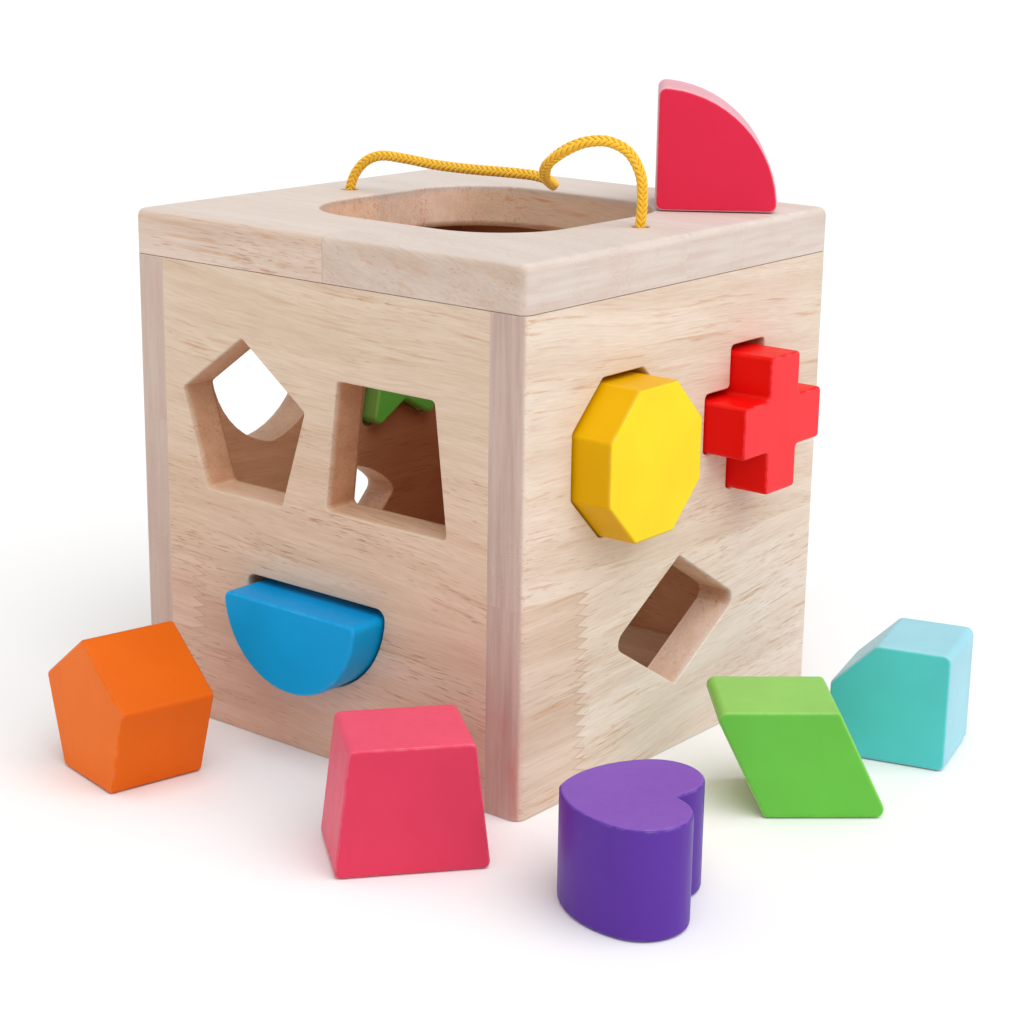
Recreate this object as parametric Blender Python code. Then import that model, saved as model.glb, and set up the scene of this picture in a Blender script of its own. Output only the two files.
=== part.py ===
"""Wooden shape sorter: a glued box with shaped holes in its four walls, a lid with a wide hand
opening and a cord handle, and twelve solid blocks, one for each hole.

Metres, +Z up.  The origin is the centre of the underside.  The front wall faces -Y, the right
wall +X, the back wall +Y and the left wall -X.  Every outline is a list of (u, v) points that
runs anticlockwise, with u to the right and v up as seen from outside its wall."""

import math

import bpy
import bmesh
from mathutils import Matrix, Vector

MM = 0.001

# The box
BOX_SIDE = 150 * MM
WALL = 12 * MM
WALL_HEIGHT = 142 * MM
LID = 13.5 * MM
FLOOR = 8.5 * MM
CORNER_RADIUS = 3 * MM
LID_EDGE_RADIUS = 2.4 * MM
GLUE_GAP = 0.3 * MM
LID_TOP = WALL_HEIGHT + LID

# The lid's hand opening and cord holes
HAND_OPENING = 87 * MM
HAND_OPENING_RADIUS = 26 * MM
HAND_OPENING_RIM = 0.8 * MM
HAND_OPENING_LOWER_RIM = 2.2 * MM
CORD_HOLE_RADIUS = 2.7 * MM
CORD_HOLE_X = 57 * MM

# The cord and its stopper knots
CORD_DIAMETER = 3.5 * MM
CORD_POINT_SPACING = 6 * MM
KNOT_RADIUS = 4.6 * MM
KNOT_HEIGHT = 8 * MM

# The blocks and the edges of their holes
BLOCK_LENGTH = 30 * MM
BLOCK_RIM = 1.0 * MM
HOLE_RIM = 0.6 * MM
CUTTER_OVERRUN = 3 * MM
ARC_SAGITTA = 0.03 * MM
RIM_STEPS = 3

# Shapes of the blocks
PENTAGON_RADIUS = 23.6 * MM
TRAPEZOID_BASE = 41.8 * MM
TRAPEZOID_TOP = 33.4 * MM
TRAPEZOID_HEIGHT = 35.5 * MM
SEMICIRCLE_RADIUS = 26.2 * MM
OCTAGON_ACROSS_FLATS = 43.6 * MM
CROSS_SPAN = 41.6 * MM
CROSS_ARM = 15.8 * MM
RHOMBUS_WIDTH = 59.4 * MM
RHOMBUS_HEIGHT = 37.1 * MM
QUARTER_RADIUS = 36.8 * MM
HEART_LOBE_RADIUS = 12.5 * MM
HEART_LOBE_OFFSET = 10.9 * MM
HEART_LOBE_HEIGHT = 23.4 * MM
HEART_SIDE_RADIUS = 29 * MM
STAR_RADIUS = 27.5 * MM
STAR_NOTCH_RADIUS = 13.2 * MM
CUT_CORNER_WIDTH = 35.8 * MM
CUT_CORNER_HEIGHT = 36 * MM
CUT_CORNER_CUT = 13.4 * MM
TRIANGLE_RADIUS = 24.5 * MM
ROUND_RADIUS = 21 * MM

# The cord's route, from the left stopper knot up through the lid, across the hand opening with
# one kink, and over an arch down to the right stopper knot
CORD_ROUTE = (
    (-57.0, 0.0, 142.0),
    (-57.0, 0.0, 149.0),
    (-56.8, 0.0, 155.5),
    (-54.8, 0.0, 160.3),
    (-51.0, 0.6, 164.6),
    (-45.6, 1.6, 166.9),
    (-36.4, 3.2, 166.7),
    (-25.0, 5.0, 165.6),
    (-12.0, 7.0, 165.2),
    (0.5, 9.0, 165.2),
    (10.0, 10.6, 164.9),
    (16.0, 9.4, 164.2),
    (21.0, 5.2, 163.8),
    (24.6, -0.6, 165.0),
    (27.4, -7.0, 167.8),
    (31.6, -11.4, 172.0),
    (37.6, -11.6, 176.4),
    (43.4, -9.2, 179.2),
    (49.2, -6.0, 179.6),
    (54.2, -3.0, 176.8),
    (57.2, -1.0, 170.6),
    (57.4, 0.0, 163.0),
    (57.0, 0.0, 155.5),
    (57.0, 0.0, 149.0),
    (57.0, 0.0, 142.0),
)

COLOURS = {
    "wood": (0.80, 0.66, 0.50),
    "orange": (0.85, 0.20, 0.03),
    "pink": (0.76, 0.08, 0.15),
    "blue": (0.02, 0.30, 0.62),
    "yellow": (0.90, 0.68, 0.02),
    "red": (0.72, 0.02, 0.03),
    "green": (0.18, 0.55, 0.08),
    "purple": (0.20, 0.05, 0.42),
    "crimson": (0.78, 0.05, 0.10),
    "teal": (0.10, 0.52, 0.55),
    "cord": (0.95, 0.50, 0.03),
}


def clear_scene():
    """Remove whatever the scene holds."""
    for item in list(bpy.data.objects):
        bpy.data.objects.remove(item, do_unlink=True)


def make_materials():
    """One Principled material for each colour."""
    materials = {}
    for name, colour in COLOURS.items():
        material = bpy.data.materials.new(name)
        material.use_nodes = True
        shader = material.node_tree.nodes["Principled BSDF"]
        shader.inputs["Base Color"].default_value = (*colour, 1.0)
        shader.inputs["Metallic"].default_value = 0.0
        rough = 0.6 if name in ("wood", "cord") else 0.35
        shader.inputs["Roughness"].default_value = rough
        materials[name] = material
    return materials


# ---------------------------------------------------------------- outlines

def grow(outline, distance):
    """Move every side of a closed outline outwards by distance."""
    grown = []
    for before, here, after in neighbours(outline):
        enter = (Vector(here) - Vector(before)).normalized()
        leave = (Vector(after) - Vector(here)).normalized()
        normal_in = Vector((enter.y, -enter.x))
        normal_out = Vector((leave.y, -leave.x))
        shift = (normal_in + normal_out) / (1.0 + normal_in.dot(normal_out))
        grown.append((here[0] + distance * shift.x, here[1] + distance * shift.y))
    return grown


def neighbours(outline):
    """Each point of a closed outline with the ones before and after it."""
    return zip(outline[-1:] + outline[:-1], outline, outline[1:] + outline[:1])


def round_corners(outline, radii):
    """Replace each corner by an arc of its radius; a radius of zero keeps the corner."""
    rounded = []
    for (before, here, after), radius in zip(neighbours(outline), radii):
        corner = Vector(here)
        enter = (corner - Vector(before)).normalized()
        leave = (Vector(after) - corner).normalized()
        turn = math.atan2(enter.x * leave.y - enter.y * leave.x, enter.dot(leave))
        if radius == 0.0 or abs(turn) < math.radians(5):
            rounded.append(here)
            continue
        side = math.copysign(1.0, turn)
        start = corner - enter * (radius * math.tan(abs(turn) / 2))
        centre = start + Vector((-enter.y, enter.x)) * (radius * side)
        widest_step = 2 * math.acos(1.0 - ARC_SAGITTA / radius)
        steps = max(2, math.ceil(abs(turn) / widest_step))
        spoke = start - centre
        for step in range(steps + 1):
            point = centre + Matrix.Rotation(turn * step / steps, 2) @ spoke
            rounded.append((point.x, point.y))
    return rounded


def turned_by(outline, angle):
    """The outline turned anticlockwise about its own origin."""
    spin = Matrix.Rotation(angle, 2)
    return [tuple(spin @ Vector(point)) for point in outline]


def arc(centre, radius, start, end, steps):
    """Points on an arc, both ends included; the angles are in radians."""
    angles = [start + (end - start) * step / steps for step in range(steps + 1)]
    return [(centre[0] + radius * math.cos(a), centre[1] + radius * math.sin(a)) for a in angles]


def regular(sides, radius, first_angle):
    """A regular polygon."""
    angles = [first_angle + math.tau * side / sides for side in range(sides)]
    return [(radius * math.cos(a), radius * math.sin(a)) for a in angles]


def pentagon(clearance):
    return grow(regular(5, PENTAGON_RADIUS, math.pi / 2), clearance)


def trapezoid(clearance):
    half = TRAPEZOID_HEIGHT / 2
    outline = [(-TRAPEZOID_BASE / 2, -half), (TRAPEZOID_BASE / 2, -half),
               (TRAPEZOID_TOP / 2, half), (-TRAPEZOID_TOP / 2, half)]
    return grow(outline, clearance)


def semicircle(clearance):
    """Flat side up, half the radius above the origin."""
    centre = (0.0, SEMICIRCLE_RADIUS / 2)
    return grow(arc(centre, SEMICIRCLE_RADIUS, math.pi, math.tau, 24), clearance)


def octagon(clearance):
    radius = OCTAGON_ACROSS_FLATS / 2 / math.cos(math.pi / 8)
    return grow(regular(8, radius, math.pi / 8), clearance)


def cross(clearance):
    """A plus sign, drawn as one arm turned through the four quarters."""
    span = CROSS_SPAN / 2
    arm = CROSS_ARM / 2
    quarter = [(arm, -span), (arm, -arm), (span, -arm)]
    outline = []
    for turn in range(4):
        outline += turned_by(quarter, turn * math.pi / 2)
    return grow(outline, clearance)


def rhombus(clearance):
    """Standing on its blunt corner, with the sharp corners to the left and right."""
    wide = RHOMBUS_WIDTH / 2
    high = RHOMBUS_HEIGHT / 2
    return grow([(0.0, -high), (wide, 0.0), (0.0, high), (-wide, 0.0)], clearance)


def quarter_circle(clearance):
    """Right-angled corner at the origin, with its two straight sides along +u and +v."""
    outline = [(0.0, 0.0)] + arc((0.0, 0.0), QUARTER_RADIUS, 0.0, math.pi / 2, 16)
    return grow(outline, clearance)


def heart(clearance):
    """Tip near the origin and lobes above it.  Each side is a long arc into its lobe."""
    lobe = Vector((HEART_LOBE_OFFSET, HEART_LOBE_HEIGHT))
    reach = HEART_SIDE_RADIUS - HEART_LOBE_RADIUS
    along = (HEART_SIDE_RADIUS ** 2 - reach ** 2 + lobe.length_squared) / (2 * lobe.length)
    aside = math.sqrt(HEART_SIDE_RADIUS ** 2 - along ** 2)
    towards = lobe.normalized()
    centre = towards * along + Vector((-towards.y, towards.x)) * aside
    side_radius = HEART_SIDE_RADIUS + clearance
    lobe_radius = HEART_LOBE_RADIUS + clearance
    tip_drop = math.sqrt(side_radius ** 2 - centre.x ** 2)
    tip_angle = math.atan2(-tip_drop, -centre.x)
    join = lobe - centre
    join_angle = math.atan2(join.y, join.x)
    notch_rise = math.sqrt(lobe_radius ** 2 - HEART_LOBE_OFFSET ** 2)
    notch_angle = math.atan2(notch_rise, -HEART_LOBE_OFFSET)
    side = arc(centre, side_radius, tip_angle, join_angle, 8)
    crown = arc(lobe, lobe_radius, join_angle, notch_angle, 16)
    right = side + crown[1:]
    left = [(-u, v) for u, v in reversed(right[1:-1])]
    return right + left


def star(clearance):
    """Five points, one of them up."""
    outline = []
    for point in range(5):
        angle = math.pi / 2 + math.tau * point / 5
        notch = angle + math.pi / 5
        outline.append((STAR_RADIUS * math.cos(angle), STAR_RADIUS * math.sin(angle)))
        outline.append((STAR_NOTCH_RADIUS * math.cos(notch), STAR_NOTCH_RADIUS * math.sin(notch)))
    return grow(outline, clearance)


def cut_corner(clearance):
    """A near square with its upper left corner cut off."""
    wide = CUT_CORNER_WIDTH / 2
    high = CUT_CORNER_HEIGHT / 2
    outline = [(-wide, -high), (wide, -high), (wide, high),
               (-wide + CUT_CORNER_CUT, high), (-wide, high - CUT_CORNER_CUT)]
    return grow(outline, clearance)


def triangle(clearance):
    return grow(regular(3, TRIANGLE_RADIUS, math.pi / 2), clearance)


def disc(clearance):
    return regular(48, ROUND_RADIUS + clearance, 0.0)


def even(radius):
    """The same corner radius all round."""
    return lambda outline: [radius] * len(outline)


def ends_of_flat(radius):
    """Rounds only the first and last points, which end an arc's straight side."""
    return lambda outline: [radius] + [0.0] * (len(outline) - 2) + [radius]


def quarter_corners(radius):
    """Rounds the right-angled corner and the two ends of the arc."""
    return lambda outline: [radius, radius] + [0.0] * (len(outline) - 3) + [radius]


def heart_corners(tip, notch):
    """Rounds the tip and the notch between the lobes."""
    def radii(outline):
        middle = len(outline) // 2
        return [tip] + [0.0] * (middle - 1) + [notch] + [0.0] * (len(outline) - middle - 1)
    return radii


def two_by_two(first, second):
    """Alternating corner radii."""
    return lambda outline: [first, second] * (len(outline) // 2)


# Each shape: its outline, its block's corners, its hole's clearance and its hole's corners
SHAPES = {
    "pentagon": (pentagon, even(1.6 * MM), 2.3 * MM, even(1.4 * MM)),
    "trapezoid": (trapezoid, even(1.8 * MM), 1.6 * MM, even(1.5 * MM)),
    "semicircle": (semicircle, ends_of_flat(2.2 * MM), 1.3 * MM, ends_of_flat(3.0 * MM)),
    "octagon": (octagon, even(1.6 * MM), 1.0 * MM, even(1.5 * MM)),
    "cross": (cross, even(1.3 * MM), 1.1 * MM, even(1.5 * MM)),
    "rhombus": (rhombus, two_by_two(1.6 * MM, 2.4 * MM), 1.3 * MM, two_by_two(1.0 * MM, 3.2 * MM)),
    "quarter_circle": (quarter_circle, quarter_corners(2.4 * MM), 1.8 * MM,
                       quarter_corners(3.0 * MM)),
    "heart": (heart, heart_corners(3.0 * MM, 1.2 * MM), 2.0 * MM,
              heart_corners(4.0 * MM, 1.2 * MM)),
    "star": (star, two_by_two(2.6 * MM, 1.5 * MM), 1.3 * MM, two_by_two(3.0 * MM, 1.4 * MM)),
    "cut_corner": (cut_corner, even(2.4 * MM), 1.8 * MM, even(2.4 * MM)),
    "triangle": (triangle, even(2.4 * MM), 1.6 * MM, even(2.4 * MM)),
    "round": (disc, even(0.0), 1.6 * MM, even(0.0)),
}


def block_outline(shape):
    points, corners, _, _ = SHAPES[shape]
    outline = points(0.0)
    return round_corners(outline, corners(outline))


def hole_outline(shape):
    points, _, clearance, corners = SHAPES[shape]
    outline = points(clearance)
    return round_corners(outline, corners(outline))


# ---------------------------------------------------------------- solids

def loft(name, sections, material=None):
    """A closed solid through (outline, height) sections that all have the same point count."""
    mesh = bpy.data.meshes.new(name)
    bm = bmesh.new()
    rings = []
    for outline, height in sections:
        rings.append([bm.verts.new((u, v, height)) for u, v in outline])
    count = len(rings[0])
    for low, high in zip(rings, rings[1:]):
        for here in range(count):
            following = (here + 1) % count
            bm.faces.new((low[here], low[following], high[following], high[here]))
    bm.faces.new(rings[0][::-1])
    bm.faces.new(rings[-1])
    bm.to_mesh(mesh)
    bm.free()
    if material:
        mesh.materials.append(material)
    solid = bpy.data.objects.new(name, mesh)
    bpy.context.scene.collection.objects.link(solid)
    return solid


def rounded_sections(outline, depth, bottom_radius, top_radius):
    """Sections of a prism whose two rims are rounded."""
    sections = []
    for step in range(RIM_STEPS + 1):
        angle = math.pi / 2 * step / RIM_STEPS
        inset = bottom_radius * (1 - math.sin(angle))
        sections.append((grow(outline, -inset), bottom_radius * (1 - math.cos(angle))))
    for step in range(RIM_STEPS, -1, -1):
        angle = math.pi / 2 * step / RIM_STEPS
        inset = top_radius * (1 - math.sin(angle))
        sections.append((grow(outline, -inset), depth - top_radius * (1 - math.cos(angle))))
    return sections


def shade_smooth(solid, sharp_angle=40):
    solid.data.shade_smooth()
    solid.data.set_sharp_from_angle(angle=math.radians(sharp_angle))


def rim_sections(outline, rim):
    """Sections of a hole's soft rim, each with its height above the hole's mouth."""
    return [
        (outline, -rim),
        (grow(outline, 0.13 * rim), -0.5 * rim),
        (grow(outline, 0.5 * rim), -0.13 * rim),
        (grow(outline, 1.2 * rim), 0.2 * rim),
        (grow(outline, 1.2 * rim), CUTTER_OVERRUN),
    ]


def flared_cutter(name, outline, depth, rim, frame, far_rim=0.0):
    """A guide solid that cuts a hole through depth below its frame's plane, with soft rims."""
    sections = [(outline, -depth - CUTTER_OVERRUN)]
    if far_rim:
        outwards = rim_sections(outline, far_rim)
        sections = [(section, -depth - height) for section, height in reversed(outwards)]
    sections += rim_sections(outline, rim)
    cutter = loft(name, sections)
    cutter.matrix_world = frame
    cutter.hide_render = True
    cutter.display_type = "WIRE"
    return cutter


def cut(solid, cutter):
    modifier = solid.modifiers.new("cut " + cutter.name, "BOOLEAN")
    modifier.operation = "DIFFERENCE"
    modifier.solver = "EXACT"
    modifier.object = cutter


# ---------------------------------------------------------------- walls

def wall_frame(side):
    """Frame on a wall's outer face, at its lower middle: x is right, y is up, z is outwards."""
    outwards = {
        "front": Vector((0, -1, 0)),
        "right": Vector((1, 0, 0)),
        "back": Vector((0, 1, 0)),
        "left": Vector((-1, 0, 0)),
    }[side]
    up = Vector((0, 0, 1))
    right = up.cross(outwards)
    frame = Matrix((right, up, outwards)).transposed().to_4x4()
    frame.translation = outwards * (BOX_SIDE / 2)
    return frame


# Holes of each wall: shape, column and height of the hole's centre, and turn on the wall
HOLES = {
    "front": (
        ("pentagon", -30.5 * MM, 95.4 * MM, 0.0),
        ("trapezoid", 25.5 * MM, 95.4 * MM, 0.0),
        ("semicircle", -2.2 * MM, 36.3 * MM, 0.0),
    ),
    "right": (
        ("octagon", -31.0 * MM, 97.5 * MM, 0.0),
        ("cross", 32.0 * MM, 97.8 * MM, 0.0),
        ("rhombus", -0.3 * MM, 40.2 * MM, 0.0),
    ),
    "back": (
        ("cut_corner", -30.5 * MM, 97.0 * MM, 0.0),
        ("round", 30.5 * MM, 97.0 * MM, 0.0),
        ("triangle", 0.0, 38.0 * MM, 0.0),
    ),
    "left": (
        ("star", -28.5 * MM, 96.0 * MM, 0.0),
        ("heart", 30.5 * MM, 79.4 * MM, 0.0),
        ("quarter_circle", 0.0, 24.0 * MM, math.radians(45)),
    ),
}


def make_wall(side, material):
    """One wall panel.  The side walls run the full depth; the others fit between them."""
    name = side + "_wall"
    half = BOX_SIDE / 2
    if side in ("left", "right"):
        outline = [(-WALL, -half), (0.0, -half), (0.0, half), (-WALL, half)]
        outline = round_corners(outline, [0.0, CORNER_RADIUS, CORNER_RADIUS, 0.0])
        angle = 0.0 if side == "right" else math.pi
        place = Matrix.Rotation(angle, 4, "Z") @ Matrix.Translation((half, 0, 0))
    else:
        inside = half - WALL - GLUE_GAP
        outline = [(-inside, -WALL), (inside, -WALL), (inside, 0.0), (-inside, 0.0)]
        angle = 0.0 if side == "back" else math.pi
        place = Matrix.Rotation(angle, 4, "Z") @ Matrix.Translation((0, half, 0))
    height = WALL_HEIGHT - GLUE_GAP
    wall = loft(name, [(outline, 0.0), (outline, height)], material)
    wall.matrix_world = place
    for shape, column, rise, turn in HOLES[side]:
        frame = wall_frame(side) @ Matrix.Translation((column, rise, 0))
        outline = turned_by(hole_outline(shape), turn)
        cut(wall, flared_cutter(shape + "_hole_cutter", outline, WALL, HOLE_RIM, frame))
    shade_smooth(wall)
    return wall


def make_floor(material):
    inside = BOX_SIDE / 2 - WALL - GLUE_GAP
    outline = [(-inside, -inside), (inside, -inside), (inside, inside), (-inside, inside)]
    return loft("floor_panel", [(outline, 0.0), (outline, FLOOR)], material)


def square(side, radius):
    half = side / 2
    return round_corners([(-half, -half), (half, -half), (half, half), (-half, half)], [radius] * 4)


def make_lid(material):
    """The lid, with its hand opening and its two cord holes."""
    sections = rounded_sections(square(BOX_SIDE, CORNER_RADIUS), LID, 0.3 * MM, LID_EDGE_RADIUS)
    lid = loft("lid", sections, material)
    lid.matrix_world = Matrix.Translation((0, 0, WALL_HEIGHT))
    top = Matrix.Translation((0, 0, LID_TOP))
    opening = square(HAND_OPENING, HAND_OPENING_RADIUS)
    cut(lid, flared_cutter("hand_opening_cutter", opening, LID, HAND_OPENING_RIM, top,
                           HAND_OPENING_LOWER_RIM))
    for side in (-1, 1):
        frame = top @ Matrix.Translation((side * CORD_HOLE_X, 0, 0))
        hole = regular(24, CORD_HOLE_RADIUS, 0.0)
        cut(lid, flared_cutter("cord_hole_cutter", hole, LID, 0.4 * MM, frame))
    shade_smooth(lid)
    return lid


# ---------------------------------------------------------------- cord

def spline_through(points, spacing):
    """Evenly spaced points on a smooth curve through points (centripetal Catmull-Rom)."""
    points = [Vector(point) for point in points]
    padded = [2 * points[0] - points[1]] + points + [2 * points[-1] - points[-2]]
    dense = []
    for p0, p1, p2, p3 in zip(padded, padded[1:], padded[2:], padded[3:]):
        t1 = (p1 - p0).length ** 0.5
        t2 = t1 + (p2 - p1).length ** 0.5
        t3 = t2 + (p3 - p2).length ** 0.5
        for step in range(20):
            t = t1 + (t2 - t1) * step / 20
            a1 = p0 + (p1 - p0) * (t / t1)
            a2 = p1 + (p2 - p1) * ((t - t1) / (t2 - t1))
            a3 = p2 + (p3 - p2) * ((t - t2) / (t3 - t2))
            b1 = a1 + (a2 - a1) * (t / t2)
            b2 = a2 + (a3 - a2) * ((t - t1) / (t3 - t1))
            dense.append(b1 + (b2 - b1) * ((t - t1) / (t2 - t1)))
    dense.append(points[-1])
    travelled = [0.0]
    for start, end in zip(dense, dense[1:]):
        travelled.append(travelled[-1] + (end - start).length)
    count = round(travelled[-1] / spacing)
    chosen = []
    index = 0
    for step in range(count + 1):
        wanted = travelled[-1] * step / count
        while index < len(dense) - 2 and travelled[index + 1] < wanted:
            index += 1
        stretch = travelled[index + 1] - travelled[index]
        share = (wanted - travelled[index]) / stretch
        chosen.append(dense[index].lerp(dense[index + 1], share))
    return chosen


def make_cord(material):
    """The handle cord, as a plain tube."""
    curve = bpy.data.curves.new("carry_cord", "CURVE")
    curve.dimensions = "3D"
    curve.bevel_depth = CORD_DIAMETER / 2
    curve.bevel_resolution = 2
    curve.use_fill_caps = True
    route = [Vector(point) * MM for point in CORD_ROUTE]
    points = spline_through(route, CORD_POINT_SPACING)
    spline = curve.splines.new("POLY")
    spline.points.add(len(points) - 1)
    for target, point in zip(spline.points, points):
        target.co = (*point, 1.0)
    curve.materials.append(material)
    cord = bpy.data.objects.new("carry_cord", curve)
    bpy.context.scene.collection.objects.link(cord)
    return cord


def make_knot(name, x, material):
    """A stopper knot just under the lid, as a flattened ball."""
    sections = []
    rings = 6
    for ring in range(rings + 1):
        angle = math.radians(20 + 140 * ring / rings)
        height = -math.cos(angle) / math.cos(math.radians(20)) * KNOT_HEIGHT / 2
        sections.append((regular(14, KNOT_RADIUS * math.sin(angle), 0.0), height))
    knot = loft(name, sections, material)
    knot.location = (x, 0, WALL_HEIGHT - GLUE_GAP - KNOT_HEIGHT / 2)
    shade_smooth(knot)
    return knot


# ---------------------------------------------------------------- blocks

def make_block(name, outline, frame, material):
    """A block whose outer face lies in its frame's plane, with its length behind that plane."""
    sections = rounded_sections(outline, BLOCK_LENGTH, BLOCK_RIM, BLOCK_RIM)
    block = loft(name, sections, material)
    block.matrix_world = frame @ Matrix.Translation((0, 0, -BLOCK_LENGTH))
    shade_smooth(block)
    return block


# Blocks that stand in their holes: shape, wall, offset from the hole's centre to the right and
# up, how far the block stands out of the wall, and colour
BLOCKS_IN_HOLES = (
    ("semicircle", "front", 0.2 * MM, -1.0 * MM, 11.5 * MM, "blue"),
    ("octagon", "right", 0.0, -0.7 * MM, 12.3 * MM, "yellow"),
    ("cross", "right", -0.7 * MM, -0.8 * MM, 14.0 * MM, "red"),
    ("star", "left", 0.0, -0.9 * MM, 13.0 * MM, "green"),
    ("triangle", "back", 0.0, -1.2 * MM, 12.0 * MM, "blue"),
)

# Blocks that stand on a side on the ground: shape, turn of the outline, the left end of the
# visible lower edge, the direction of that edge, and colour
BLOCKS_ON_A_SIDE = (
    ("pentagon", 0.0, (-51.9 * MM, -129.2 * MM), -12.4, "orange"),
    ("trapezoid", 0.0, (61.3 * MM, -134.4 * MM), 50.6, "pink"),
    ("rhombus", -math.atan2(RHOMBUS_HEIGHT, RHOMBUS_WIDTH), (125.2 * MM, -27.6 * MM), 40.9,
     "green"),
    ("cut_corner", 0.0, (112.7 * MM, 26.0 * MM), 15.0, "teal"),
)


def block_in_hole(shape, side, aside, raised, out, material):
    column, rise, turn = next(row[1:] for row in HOLES[side] if row[0] == shape)
    shift = Matrix.Translation((column + aside, rise + raised, out))
    outline = turned_by(block_outline(shape), turn)
    return make_block(shape + "_block", outline, wall_frame(side) @ shift, material)


def standing_frame(edge_start, direction, height):
    """Frame of an upright face whose lower edge starts at edge_start and runs in direction."""
    along = Vector((math.cos(math.radians(direction)), math.sin(math.radians(direction)), 0))
    up = Vector((0, 0, 1))
    frame = Matrix((along, up, along.cross(up))).transposed().to_4x4()
    frame.translation = (edge_start[0], edge_start[1], height)
    return frame


def block_on_a_side(shape, turn, edge_start, direction, height, material):
    """A block resting on the side that is lowest once its outline is turned."""
    sharp = turned_by(SHAPES[shape][0](0.0), turn)
    bottom = min(v for _, v in sharp)
    start = min(u for u, v in sharp if v < bottom + 0.01 * MM)
    outline = turned_by(block_outline(shape), turn)
    frame = standing_frame(edge_start, direction, height)
    shift = Matrix.Translation((-start, -bottom, 0))
    return make_block(shape + "_block", outline, frame @ shift, material)


def block_lying(shape, place, direction, material):
    """A block lying on its flat face, its outline's v axis in the given direction."""
    turn = Matrix.Rotation(math.radians(direction - 90), 4, "Z")
    frame = Matrix.Translation((place[0], place[1], BLOCK_LENGTH)) @ turn
    return make_block(shape + "_block", block_outline(shape), frame, material)


def main():
    clear_scene()
    materials = make_materials()
    wood = materials["wood"]
    make_floor(wood)
    for side in HOLES:
        make_wall(side, wood)
    make_lid(wood)
    make_cord(materials["cord"])
    make_knot("left_cord_knot", -CORD_HOLE_X, materials["cord"])
    make_knot("right_cord_knot", CORD_HOLE_X, materials["cord"])
    for shape, side, aside, raised, out, colour in BLOCKS_IN_HOLES:
        block_in_hole(shape, side, aside, raised, out, materials[colour])
    for shape, turn, edge_start, direction, colour in BLOCKS_ON_A_SIDE:
        block_on_a_side(shape, turn, edge_start, direction, 0.0, materials[colour])
    lid_rest = LID_TOP + GLUE_GAP
    block_on_a_side("quarter_circle", 0.0, (42.3 * MM, 27.8 * MM), 35.3, lid_rest,
                    materials["crimson"])
    block_lying("heart", (109.5 * MM, -102.0 * MM), 26.9, materials["purple"])
    block_lying("round", (-20 * MM, 137 * MM), 90.0, materials["orange"])


main()
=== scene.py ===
"""The looks of the wooden shape sorter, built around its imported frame.

The box's boards and the blocks are smooth copies of their CAD nodes with procedural wood and
paint.  The cord and its stopper knots are real braids, strand by strand.  Metres, +Z up."""

import math

import bmesh
import bpy
from mathutils import Matrix, Vector


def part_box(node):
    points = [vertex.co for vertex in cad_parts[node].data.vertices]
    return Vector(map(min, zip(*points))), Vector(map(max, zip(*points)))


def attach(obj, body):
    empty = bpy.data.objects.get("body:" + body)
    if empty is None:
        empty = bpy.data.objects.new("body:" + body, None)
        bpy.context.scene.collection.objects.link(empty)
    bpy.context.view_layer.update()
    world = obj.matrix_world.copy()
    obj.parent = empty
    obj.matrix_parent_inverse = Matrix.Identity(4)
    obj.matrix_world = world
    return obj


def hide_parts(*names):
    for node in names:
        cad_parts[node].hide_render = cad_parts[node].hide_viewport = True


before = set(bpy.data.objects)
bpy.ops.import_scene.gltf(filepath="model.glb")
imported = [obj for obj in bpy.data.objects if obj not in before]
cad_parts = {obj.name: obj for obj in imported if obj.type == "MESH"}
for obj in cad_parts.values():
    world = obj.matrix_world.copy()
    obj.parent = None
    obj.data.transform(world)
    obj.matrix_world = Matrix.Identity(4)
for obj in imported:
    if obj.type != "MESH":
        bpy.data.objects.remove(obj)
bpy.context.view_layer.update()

MM = 0.001
BOX = "sorting_box"


# ---------------------------------------------------------------- camera

CAMERA_TARGET = Vector((0.01125, 0.0, 0.06141))
CAMERA_AZIMUTH = 38.68
CAMERA_ELEVATION = 15.94
CAMERA_DISTANCE = 0.6837
CAMERA_ROLL = 0.85
CAMERA_LENS = 77.04


def make_camera():
    azimuth = math.radians(CAMERA_AZIMUTH)
    elevation = math.radians(CAMERA_ELEVATION)
    back = Vector((
        math.sin(azimuth) * math.cos(elevation),
        -math.cos(azimuth) * math.cos(elevation),
        math.sin(elevation),
    ))
    data = bpy.data.cameras.new("camera")
    data.sensor_width = 36
    data.lens = CAMERA_LENS
    camera = bpy.data.objects.new("camera", data)
    bpy.context.scene.collection.objects.link(camera)
    roll = Matrix.Rotation(math.radians(CAMERA_ROLL), 3, "Z")
    turn = (back.to_track_quat("Z", "Y").to_matrix() @ roll).to_4x4()
    camera.matrix_world = Matrix.Translation(CAMERA_TARGET + back * CAMERA_DISTANCE) @ turn
    bpy.context.scene.camera = camera


# ---------------------------------------------------------------- shader helpers

def add(tree, kind, inputs=None, **settings):
    """Add a node.  inputs maps a socket's name or index to a value or to another socket."""
    node = tree.nodes.new("ShaderNode" + kind)
    for key, value in settings.items():
        setattr(node, key, value)
    for key, value in (inputs or {}).items():
        if isinstance(value, bpy.types.NodeSocket):
            tree.links.new(value, node.inputs[key])
        else:
            node.inputs[key].default_value = value
    return node


def maths(tree, operation, a, b=0.0, c=0.0, clamp=False):
    node = add(tree, "Math", {0: a, 1: b, 2: c}, operation=operation, use_clamp=clamp)
    return node.outputs[0]


def product(tree, a, b):
    return maths(tree, "MULTIPLY", a, b)


def mix(tree, factor, a, b, mode="MIX"):
    """Two colours mixed by factor."""
    node = add(tree, "Mix", {0: factor, 6: a, 7: b}, data_type="RGBA", blend_type=mode)
    return node.outputs[2]


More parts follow.
